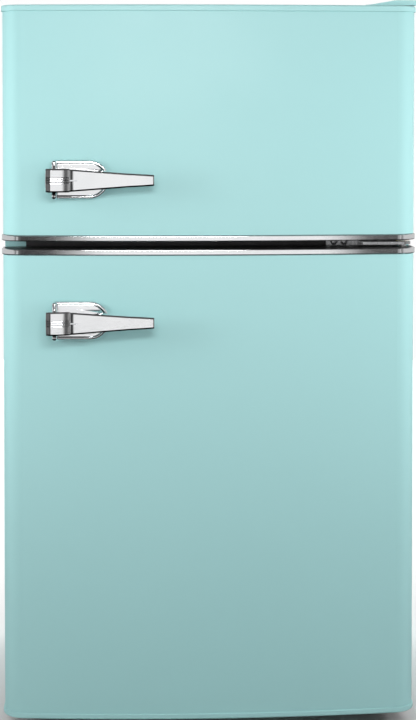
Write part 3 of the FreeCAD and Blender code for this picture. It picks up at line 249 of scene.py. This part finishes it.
# ------------------------------------------------------------------ mesh helpers
def piece(name, verts, faces, body, slot):
    """A new mesh piece in the row frame, from points in metres."""
    mesh = bpy.data.meshes.new(name)
    mesh.from_pydata([tuple(v) for v in verts], [], faces)
    mesh.validate()
    made = bmesh.new()
    made.from_mesh(mesh)
    bmesh.ops.recalc_face_normals(made, faces=made.faces)
    for face in made.faces:
        face.smooth = True
    made.to_mesh(mesh)
    made.free()
    mesh.materials.append(FINISH[slot].mat)
    made = bpy.data.objects.new(name, mesh)
    scene.collection.objects.link(made)
    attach(made, body)
    return made


def loft(rings, closed_ends=True):
    """Points and faces of a skin through closed rings that all have the same number of points."""
    count = len(rings[0])
    verts = [p for ring in rings for p in ring]
    faces = []
    for i in range(len(rings) - 1):
        for j in range(count):
            k = (j + 1) % count
            faces.append((i * count + j, i * count + k, (i + 1) * count + k, (i + 1) * count + j))
    if closed_ends:
        faces.append(tuple(range(count))[::-1])
        faces.append(tuple((len(rings) - 1) * count + j for j in range(count)))
    return verts, faces


def bevelled(obj, width, segments=3, angle=28):
    """Rounds the piece's sharp edges and keeps its flats flat."""
    bevel = obj.modifiers.new("bevel", "BEVEL")
    bevel.width = width
    bevel.segments = segments
    bevel.limit_method = "ANGLE"
    bevel.angle_limit = math.radians(angle)
    bevel.harden_normals = True
    return obj


def carve(obj, cutter):
    """Cuts a closed shape out of a piece and drops the cutter."""
    cut = obj.modifiers.new("cut", "BOOLEAN")
    cut.object = cutter
    cut.solver = "EXACT"
    graph = bpy.context.evaluated_depsgraph_get()
    mesh = bpy.data.meshes.new_from_object(obj.evaluated_get(graph))
    obj.modifiers.remove(cut)
    obj.data = mesh
    spare = cutter.data
    bpy.data.objects.remove(cutter)
    bpy.data.meshes.remove(spare)
    return obj


# ------------------------------------------------------------------ handles
# All in millimetres.
GROOVES = (-2.8, 0.0, 2.8)   # places of the knuckle's grooves up and down from its middle
GROOVE_HALF = 0.95           # half width of a groove at the surface
GROOVE_FLOOR = 0.1           # half width of its floor
GROOVE_DEPTH = 0.75
KNUCKLE_FACE_HALF = 11.6     # half height of the knuckle's front face
KNUCKLE_HALF = 13.3          # and of its body behind the chamfers
KNUCKLE_BACK = 66.4          # how far ahead of the flange the knuckle starts
CREST = 100.0                # the barrel's crest ahead of the flange
CREST_IN = 4.8               # its place from the lever's left end
STEP_IN = 27.0               # where the barrel ends and the arm begins
BARREL_CURVE = 144.0         # twice the barrel's radius along X
CHAMFER = 1.1
ARM_CHAMFER = 1.2
BACK_BEVEL = 1.2
PLATE_LEFT, PLATE_RIGHT = -180.0, -115.5
PLATE_HALF = 22.3
PLATE_CORNER = 3.0           # radius of the backplate's two left corners
PLATE_OUT, PLATE_SLOPE = 67.2, 2.2   # its left end ahead of the flange, and what the right end adds


def lever_ring(x, front, back, face, shoulder, drop, rear, groove):
    """One cross section of the lever at a place along X, in millimetres ahead of the flange."""
    scale = min(face / KNUCKLE_FACE_HALF, 1.0)
    loop = [(-face, front)]
    for centre in GROOVES:
        loop += [((centre - GROOVE_HALF) * scale, front), ((centre - GROOVE_FLOOR) * scale, front - groove),
                 ((centre + GROOVE_FLOOR) * scale, front - groove), ((centre + GROOVE_HALF) * scale, front)]
    loop += [(face, front), (shoulder, front - drop), (rear, back + BACK_BEVEL), (rear - BACK_BEVEL, back),
             (BACK_BEVEL - rear, back), (-rear, back + BACK_BEVEL), (-shoulder, front - drop)]
    return [(x * MM, FLANGE_Y - out * MM, up * MM) for up, out in loop]


def lever(door):
    """Latch-style lever: a grooved barrel over the cross pin, a step and a chamfered tapering arm."""
    low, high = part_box(door + "_handle_lever")
    z = (low.z + high.z) / 2
    left, right = low.x / MM, high.x / MM
    step, crest = left + STEP_IN, left + CREST_IN

    def barrel(x):
        return CREST - (x - crest) ** 2 / BARREL_CURVE

    def knuckle(x, front):
        return (x, front, KNUCKLE_BACK, KNUCKLE_FACE_HALF, KNUCKLE_HALF, CHAMFER, KNUCKLE_HALF, GROOVE_DEPTH)

    def arm(x, front, back, face, shoulder, rear, chamfer=ARM_CHAMFER):
        return (x, front, back, face, shoulder, chamfer, rear, 0.0)

    # Each station: x, front, back, half face, half shoulder, chamfer's depth, half back, groove's depth.
    stations = [
        (left, 98.2, 70.0, 10.9, 12.4, 0.9, 12.4, 0.0),
        (left + 0.4, 99.0, 68.4, 11.3, 13.0, 1.0, 13.0, 0.5),
        knuckle(left + 4.0, 99.8),
        knuckle(crest, CREST),
    ]
    for i in range(1, 11):
        x = crest + (step - 1.0 - crest) * i / 10
        stations.append(knuckle(x, barrel(x)))
    stations += [
        (step - 0.3, barrel(step), 66.4, 11.4, 13.2, 1.1, 13.3, 0.5),
        (step + 0.1, barrel(step) - 0.1, 66.6, 11.0, 12.8, 1.1, 13.3, 0.0),
        arm(step + 0.5, 96.9, 66.7, 10.9, 12.7, 13.3),
        arm(step + 1.4, 97.2, 66.8, 10.8, 12.6, 13.3),
        arm(step + 6.0, 97.26, 67.2, 10.5, 12.3, 13.1),
        arm(step + 15.0, 97.2, 68.4, 9.8, 11.6, 12.4),
        arm(step + 21.0, 97.15, 74.5, 9.4, 11.2, 12.0),
        arm(step + 27.0, 97.1, 80.0, 8.9, 10.7, 11.5),
        arm(step + 36.0, 97.0, 84.0, 8.2, 10.0, 10.7),
        arm(step + 50.0, 96.9, 86.6, 7.2, 9.0, 9.6),
        arm(step + 66.0, 96.75, 88.0, 6.0, 7.8, 8.3),
        arm(right - 12.0, 96.6, 88.8, 5.1, 6.9, 7.2),
        arm(right - 2.0, 96.5, 89.5, 4.4, 6.2, 6.4),
        arm(right - 0.2, 96.05, 90.0, 4.3, 6.0, 6.0, 1.1),
        arm(right, 95.7, 90.3, 4.1, 5.8, 5.8, 1.0),
    ]
    rings = [[(px, py, pz + z) for px, py, pz in lever_ring(*s)] for s in stations]
    made = piece(door + "_lever", *loft(rings), door + "_door", "chrome")
    notch = ((-1.7, 98.1), (1.7, 98.1), (0, 96.4))   # V section, up from the middle and out from the flange
    ends = [[(x * MM, FLANGE_Y - out * MM, z + up * MM) for up, out in notch]
            for x in (step + 0.6, step + 8.8)]
    cutter = piece(door + "_slot", *loft(ends), door + "_door", "chrome")
    carve(made, cutter)
    for face in made.data.polygons:
        face.use_smooth = True
    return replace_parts(bevelled(made, 0.4 * MM), door + "_handle_lever")


def plate_y(x, above):
    """Y at a height above the backplate's flat face, but never behind the door's bowed skin."""
    out = PLATE_OUT + (x - PLATE_LEFT) * PLATE_SLOPE / (PLATE_RIGHT - PLATE_LEFT)
    return min(FLANGE_Y - (out + above) * MM, bow_y(x * MM, -0.0002))


def bullet_loop(z, inset, count=18):
    """The backplate's outline, square at the left with small corners and round at the right."""
    half, left, right = PLATE_HALF - inset, PLATE_LEFT + inset, PLATE_RIGHT - inset
    corner = max(PLATE_CORNER - inset, 0.4)
    shoulder = right - half
    loop = []
    for i in range(count + 1):
        a = math.pi * (i / count - 0.5)
        loop.append((shoulder + half * math.cos(a), half * math.sin(a)))
    steps = 10
    for i in range(1, steps):
        loop.append((shoulder + (left + corner - shoulder) * i / steps, half))
    for i in range(5):
        a = math.pi / 2 + math.pi / 2 * i / 4
        loop.append((left + corner + corner * math.cos(a), half - corner + corner * math.sin(a)))
    for i in range(5):
        a = math.pi + math.pi / 2 * i / 4
        loop.append((left + corner + corner * math.cos(a), corner - half + corner * math.sin(a)))
    for i in range(1, steps):
        loop.append((left + corner + (shoulder - left - corner) * i / steps, -half))
    return [(x, up + z / MM) for x, up in loop]


def backplate(door):
    """Bright plate that follows the door's bow, with a rolled rim and a channel inside it."""
    low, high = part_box(door + "_handle_base")
    z = (low.z + high.z) / 2
    # Inset from the outline and height above the flat face, from the skin behind over the rim to the channel.
    section = [(0.0, -20.0), (0.0, -0.9), (0.2, -0.5), (0.9, 0.3), (1.5, 0.85), (1.9, 0.97), (2.4, 1.0),
               (2.9, 0.97), (3.3, 0.85), (3.9, 0.3), (4.4, 0.03), (4.8, 0.0), (7.0, 0.05), (10.0, 0.05),
               (14.0, 0.05), (18.0, 0.05)]
    rings = []
    for inset, above in section:
        rings.append([(x * MM, plate_y(x, above), pz * MM) for x, pz in bullet_loop(z, inset)])
    made = piece(door + "_backplate", *loft(rings), door + "_door", "chrome")
    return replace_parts(made, door + "_handle_base")


def cross_pin(door):
    """Domed pin through the barrel, with a fine turned ring near each end."""
    low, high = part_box(door + "_handle_pin")
    centre = (low + high) / 2
    half, radius = (high.z - low.z) / 2, (high.x - low.x) / 2
    profile = [(radius * math.cos(a), half - radius + radius * math.sin(a))
               for a in [math.pi / 2 * i / 8 for i in range(8, -1, -1)]]
    profile[0] = (0.00002, half)
    for at in (4.6, 5.2):
        profile += [(radius, half - (at - 0.25) * MM), (radius - 0.25 * MM, half - at * MM),
                    (radius, half - (at + 0.25) * MM)]
    profile = profile + [(r, -up) for r, up in profile[::-1]]
    turns = 28
    rings = [[(centre.x + r * math.cos(math.tau * i / turns), centre.y + r * math.sin(math.tau * i / turns),
               centre.z + up) for i in range(turns)] for r, up in profile]
    made = piece(door + "_cross_pin", *loft(rings), door + "_door", "chrome")
    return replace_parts(made, door + "_handle_pin")


for door in ("freezer", "fridge"):
    lever(door)
    backplate(door)
    cross_pin(door)


# ------------------------------------------------------------------ door gaskets
def rounded_rect(half_x, low, high, corner, y, steps=7):
    """Closed loop in the XZ plane with rounded corners."""
    loop = []
    for sx, sz, start in ((1, 1, 0.0), (-1, 1, 0.5), (-1, -1, 1.0), (1, -1, 1.5)):
        cx, cz = sx * (half_x - corner), (high - corner) if sz > 0 else (low + corner)
        for i in range(steps):
            a = math.pi * (start + 0.5 * i / (steps - 1))
            loop.append((cx + corner * math.cos(a), y, cz + corner * math.sin(a)))
    return loop


GASKET_SECTION = [   # inset from the door's edge and reach towards the cabinet, in millimetres
    (0.0, 0.0), (14.0, 0.0), (14.0, 0.7), (13.4, 1.1), (10.6, 1.3), (9.9, 1.8), (10.5, 2.4), (12.6, 2.7),
    (13.0, 3.1), (12.4, 3.5), (10.4, 3.7), (10.0, 4.1), (10.6, 4.5), (13.2, 4.7), (13.8, 5.2), (13.9, 7.2),
    (13.2, 7.9), (9.4, 8.0), (8.8, 7.75), (5.2, 7.75), (4.6, 8.0), (0.8, 7.9), (0.1, 7.2), (0.2, 5.2),
    (0.8, 4.7), (3.4, 4.5), (4.0, 4.1), (3.6, 3.7), (1.6, 3.5), (1.0, 3.1), (1.4, 2.7), (3.5, 2.4),
    (4.1, 1.8), (3.4, 1.3), (0.6, 1.1), (0.0, 0.7),
]


def gasket(door):
    """Magnetic seal: a snap-in base, two bellows folds and a soft magnet pocket, mitred round the door."""
    low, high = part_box(door + "_door_gasket")
    depth = (high.y - low.y) / MM
    rings = []
    for inset, out in GASKET_SECTION:
        ring = rounded_rect(high.x - inset * MM, low.z + inset * MM, high.z - inset * MM,
                            (15.0 - inset) * MM, low.y + min(out, depth) * MM)
        rings.append(ring)
    verts, faces = loft(rings + rings[:1], closed_ends=False)
    count = len(rings[0])
    verts = verts[:count * len(rings)]
    faces = [tuple(v % len(verts) for v in f) for f in faces]
    made = piece(door + "_gasket", verts, faces, door + "_door", "gasket_rubber")
    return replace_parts(made, door + "_door_gasket")


for door in ("freezer", "fridge"):
    gasket(door)


# ------------------------------------------------------------------ hinge screws
def screw_mesh(radius, height, point, axis):
    """A pan head with a cross recess, and a stub of its shank behind."""
    at, up = Vector(point), Vector(axis)
    side = Vector((1, 0, 0))
    other = up.cross(side)

    def place(x, y, h):
        return at + side * x + other * y + up * h

    turns = 32
    profile = [(0.0024, -0.0024), (0.0024, 0.0), (radius, 0.0), (radius, height * 0.35),
               (radius * 0.93, height * 0.66), (radius * 0.76, height * 0.88), (radius * 0.5, height * 0.98),
               (0.0005, height)]
    rings = [[place(r * math.cos(math.tau * i / turns), r * math.sin(math.tau * i / turns), h)
              for i in range(turns)] for r, h in profile]
    made = piece("screw", *loft(rings), "cabinet", "zinc_steel")
    wide, narrow, deep = radius * 0.56, radius * 0.13, height * 0.75   # the cross recess
    for along in (0, 1):
        a, b = (wide, narrow) if along == 0 else (narrow, wide)
        top = [place(a, b, height * 1.2), place(-a, b, height * 1.2), place(-a, -b, height * 1.2),
               place(a, -b, height * 1.2)]
        foot = [place(a * 0.55, b * 0.7, height - deep), place(-a * 0.55, b * 0.7, height - deep),
                place(-a * 0.55, -b * 0.7, height - deep), place(a * 0.55, -b * 0.7, height - deep)]
        carve(made, piece("recess", *loft([foot, top]), "cabinet", "zinc_steel"))
    return made


def join(name, made):
    """One piece from several, on the cabinet."""
    merged = bmesh.new()
    for one in made:
        merged.from_mesh(one.data)
        spare = one.data
        bpy.data.objects.remove(one)
        bpy.data.meshes.remove(spare)
    mesh = bpy.data.meshes.new(name)
    merged.to_mesh(mesh)
    merged.free()
    mesh.materials.append(FINISH["zinc_steel"].mat)
    for face in mesh.polygons:
        face.use_smooth = True
    whole = bpy.data.objects.new(name, mesh)
    scene.collection.objects.link(whole)
    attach(whole, "cabinet")
    return whole


def hinge_screws():
    """Three screws on the top bracket, two on the middle one and three under the bottom one."""
    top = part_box("top_hinge_bracket")[0].z + 0.011 + 0.0025
    mid_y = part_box("middle_hinge_bracket")[1].y - 0.0025
    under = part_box("bottom_hinge_bracket")[0].z
    made = [screw_mesh(0.0042, 0.002, (x, FLANGE_Y + y, top), (0, 0, 1))
            for x, y in ((0.208, 0.014), (0.208, 0.040), (0.229, 0.040))]
    made += [screw_mesh(0.0042, 0.0022, (x, mid_y, 0.571), (0, -1, 0)) for x in (0.149, 0.161)]
    made += [screw_mesh(0.0046, 0.0024, (x, FLANGE_Y + y, under), (0, 0, -1))
             for x, y in ((0.218, 0.012), (0.178, 0.014), (0.178, 0.050))]
    whole = join("cross_head_screws", made)
    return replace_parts(bevelled(whole, 0.00012, 2), "hinge_screws")


hinge_screws()


# ------------------------------------------------------------------ camera
CAMERA_AT = (-0.096, -2.250, 0.7232)
CAMERA_DOWN = math.radians(2.17)
CAMERA_RIGHT = math.radians(2.62)
camera_data = bpy.data.cameras.new("camera")
camera_data.sensor_width = 36.0
camera_data.lens = 89.1
camera_data.shift_y = -0.25
camera = bpy.data.objects.new("camera", camera_data)
camera.location = CAMERA_AT
camera.rotation_euler = (math.pi / 2 - CAMERA_DOWN, 0, -CAMERA_RIGHT)
scene.collection.objects.link(camera)
scene.camera = camera


# ------------------------------------------------------------------ studio
KEY = 3.2          # watts
FLANKS = 1.58      # watts in the left strip
RIGHT_GAIN = 1.12  # the right strip's share of that
OVERHEAD = 1.5     # watts
WASH = 240.0       # watts on the far floor behind the object
WALL = 0.93        # strength of the lit panel behind the camera
SIDES = 0.6        # grey level of the room at both sides
BACK = 0.6         # behind the object
CORNERS = 0.08     # behind the camera, past the panel
CEILING = 0.08
GRID = math.radians(90)    # opening angle of the side strips' grids, so that they fade towards the floor
WALL_HALF, WALL_Y, WALL_TOP = 2.6, -3.02, 2.2
FRONT_WALL = [     # place along X in metres and how bright the panel behind the camera is there
    (-2.6, 0.9), (-1.7, 0.14), (-1.1, 0.05), (-0.82, 0.05), (-0.5, 1.0), (0.85, 1.0), (1.08, 0.08),
    (1.3, 0.12), (2.2, 0.5), (2.6, 0.9),
]


def stage_mesh(name, verts, finish):
    """One flat face of the studio, which isn't part of the object."""
    mesh = bpy.data.meshes.new(name)
    mesh.from_pydata(verts, [], [tuple(range(len(verts)))])
    mesh.materials.append(finish)
    made = bpy.data.objects.new(name, mesh)
    scene.collection.objects.link(made)
    return made


def floor():
    """Pale matt floor, a little lighter away from the middle of the room."""
    made = Finish("studio_floor", (0.62, 0.62, 0.62), 0.6)
    made.tint(made.noise(1.2, 2.0), (0.605, 0.607, 0.61), 0.6)
    far = made.add("VectorMath", operation="DISTANCE")
    far.inputs[1].default_value = (0, -1.2, 0)
    made.link(made.space, far.inputs[0])
    made.tint(far.outputs["Value"], (0.88, 0.88, 0.88), 1.0, (0.9, 1.7))
    made.relief(made.noise(300.0, 2.0), 0.00002, 0.3)
    reach, turns = 3.0, 96
    rim = [(reach * math.cos(math.tau * i / turns), reach * math.sin(math.tau * i / turns), 0)
           for i in range(turns)]
    disc = stage_mesh("studio_floor", rim, made.mat)
    disc.visible_glossy = False    # the chrome's lower edges reflect a dark surround instead


def grey_ramp(tree, stops, low, high, source):
    """A grey level that follows a list of places and levels."""
    along = tree.nodes.new("ShaderNodeMapRange")
    along.inputs["From Min"].default_value = low
    along.inputs["From Max"].default_value = high
    tree.links.new(source, along.inputs["Value"])
    ramp = tree.nodes.new("ShaderNodeValToRGB")
    held = ramp.color_ramp.elements
    while len(held) < len(stops):
        held.new(0.5)
    for stop, (at, level) in zip(held, stops):
        stop.position = (at - low) / (high - low)
        stop.color = (level, level, level, 1)
    tree.links.new(along.outputs["Result"], ramp.inputs[0])
    return ramp.outputs["Color"]


def front_wall():
    """Lit panel behind the camera with dark flags at both sides, which the chrome reflects."""
    mat = bpy.data.materials.new("studio_wall")
    mat.use_nodes = True
    tree = mat.node_tree
    tree.nodes.clear()
    split = tree.nodes.new("ShaderNodeSeparateXYZ")
    tree.links.new(tree.nodes.new("ShaderNodeTexCoord").outputs["Object"], split.inputs[0])
    glow = tree.nodes.new("ShaderNodeEmission")
    glow.inputs["Strength"].default_value = WALL
    level = grey_ramp(tree, FRONT_WALL, -WALL_HALF, WALL_HALF, split.outputs["X"])
    tree.links.new(level, glow.inputs["Color"])
    tree.links.new(glow.outputs[0], tree.nodes.new("ShaderNodeOutputMaterial").inputs["Surface"])
    foot = 0.02
    corners = [(-WALL_HALF, WALL_Y, foot), (WALL_HALF, WALL_Y, foot), (WALL_HALF, WALL_Y, WALL_TOP),
               (-WALL_HALF, WALL_Y, WALL_TOP)]
    made = stage_mesh("studio_wall", corners, mat)
    made.visible_camera = False
    made.visible_shadow = False


def softbox(name, place, aim, size, watts, mirrored=False, spread=math.pi):
    """Rectangular light aimed at a point, seen in glossy surfaces only where it is mirrored."""
    data = bpy.data.lights.new(name, "AREA")
    data.shape = "RECTANGLE"
    data.size, data.size_y = size
    data.energy = watts
    data.spread = spread
    made = bpy.data.objects.new(name, data)
    made.location = place
    made.rotation_euler = (Vector(aim) - Vector(place)).to_track_quat("-Z", "Y").to_euler()
    made.visible_camera = False
    made.visible_glossy = mirrored
    scene.collection.objects.link(made)


def room():
    """Pale room with a dim ceiling, and plain white where the camera sees past the object."""
    world = bpy.data.worlds.new("studio")
    scene.world = world
    world.use_nodes = True
    tree = world.node_tree
    tree.nodes.clear()

    def add(kind, **settings):
        node = tree.nodes.new("ShaderNode" + kind)
        for key, value in settings.items():
            setattr(node, key, value)
        return node

    split = add("SeparateXYZ")
    tree.links.new(add("TexCoord").outputs["Generated"], split.inputs[0])
    turn = add("Math", operation="ARCTAN2")
    tree.links.new(split.outputs["X"], turn.inputs[0])
    tree.links.new(split.outputs["Y"], turn.inputs[1])
    half = [(0.8, BACK), (1.3, SIDES), (2.15, SIDES), (2.45, CORNERS), (math.pi, CORNERS)]
    stops = [(-angle, level) for angle, level in half[::-1]] + half
    wall = grey_ramp(tree, stops, -math.pi, math.pi, turn.outputs[0])

    def smooth_step(start, end, floor_level=0.0):
        """Rises from a floor level to one between two heights of the view direction."""
        step = add("MapRange", interpolation_type="SMOOTHSTEP")
        step.inputs["From Min"].default_value = start
        step.inputs["From Max"].default_value = end
        step.inputs["To Min"].default_value = floor_level
        tree.links.new(split.outputs["Z"], step.inputs["Value"])
        return step.outputs["Result"]

    mix = add("Mix", data_type="RGBA")
    mix.inputs[7].default_value = (CEILING, CEILING, CEILING, 1)
    tree.links.new(smooth_step(0.45, 0.85), mix.inputs[0])
    tree.links.new(wall, mix.inputs[6])
    lit = add("Background")
    tree.links.new(smooth_step(-0.22, -0.09, 0.02), lit.inputs["Strength"])
    tree.links.new(mix.outputs[2], lit.inputs["Color"])
    seen = add("Background")
    seen.inputs["Color"].default_value = (1, 1, 1, 1)
    choose = add("MixShader")
    tree.links.new(add("LightPath").outputs["Is Camera Ray"], choose.inputs[0])
    tree.links.new(lit.outputs[0], choose.inputs[1])
    tree.links.new(seen.outputs[0], choose.inputs[2])
    tree.links.new(choose.outputs[0], add("OutputWorld").inputs["Surface"])


floor()
front_wall()
room()
softbox("key", (-0.08, -1.08, 0.90), (-0.04, -0.22, 0.70), (0.42, 0.16), KEY, mirrored=True)
softbox("left_strip", (-1.0, -0.55, 0.74), (-0.2, -0.1, 0.60), (0.25, 0.5), FLANKS, spread=GRID)
softbox("right_strip", (1.0, -0.55, 0.74), (0.2, -0.1, 0.60), (0.25, 0.5), RIGHT_GAIN * FLANKS,
        spread=GRID)
softbox("overhead", (0, -0.72, 1.9), (0, -0.1, 0.7), (1.4, 0.6), OVERHEAD)
softbox("background_wash", (0, 3.2, 3.0), (0, 2.6, 0), (4.0, 2.5), WASH)

scene.view_settings.view_transform = "Standard"
scene.view_settings.look = "None"
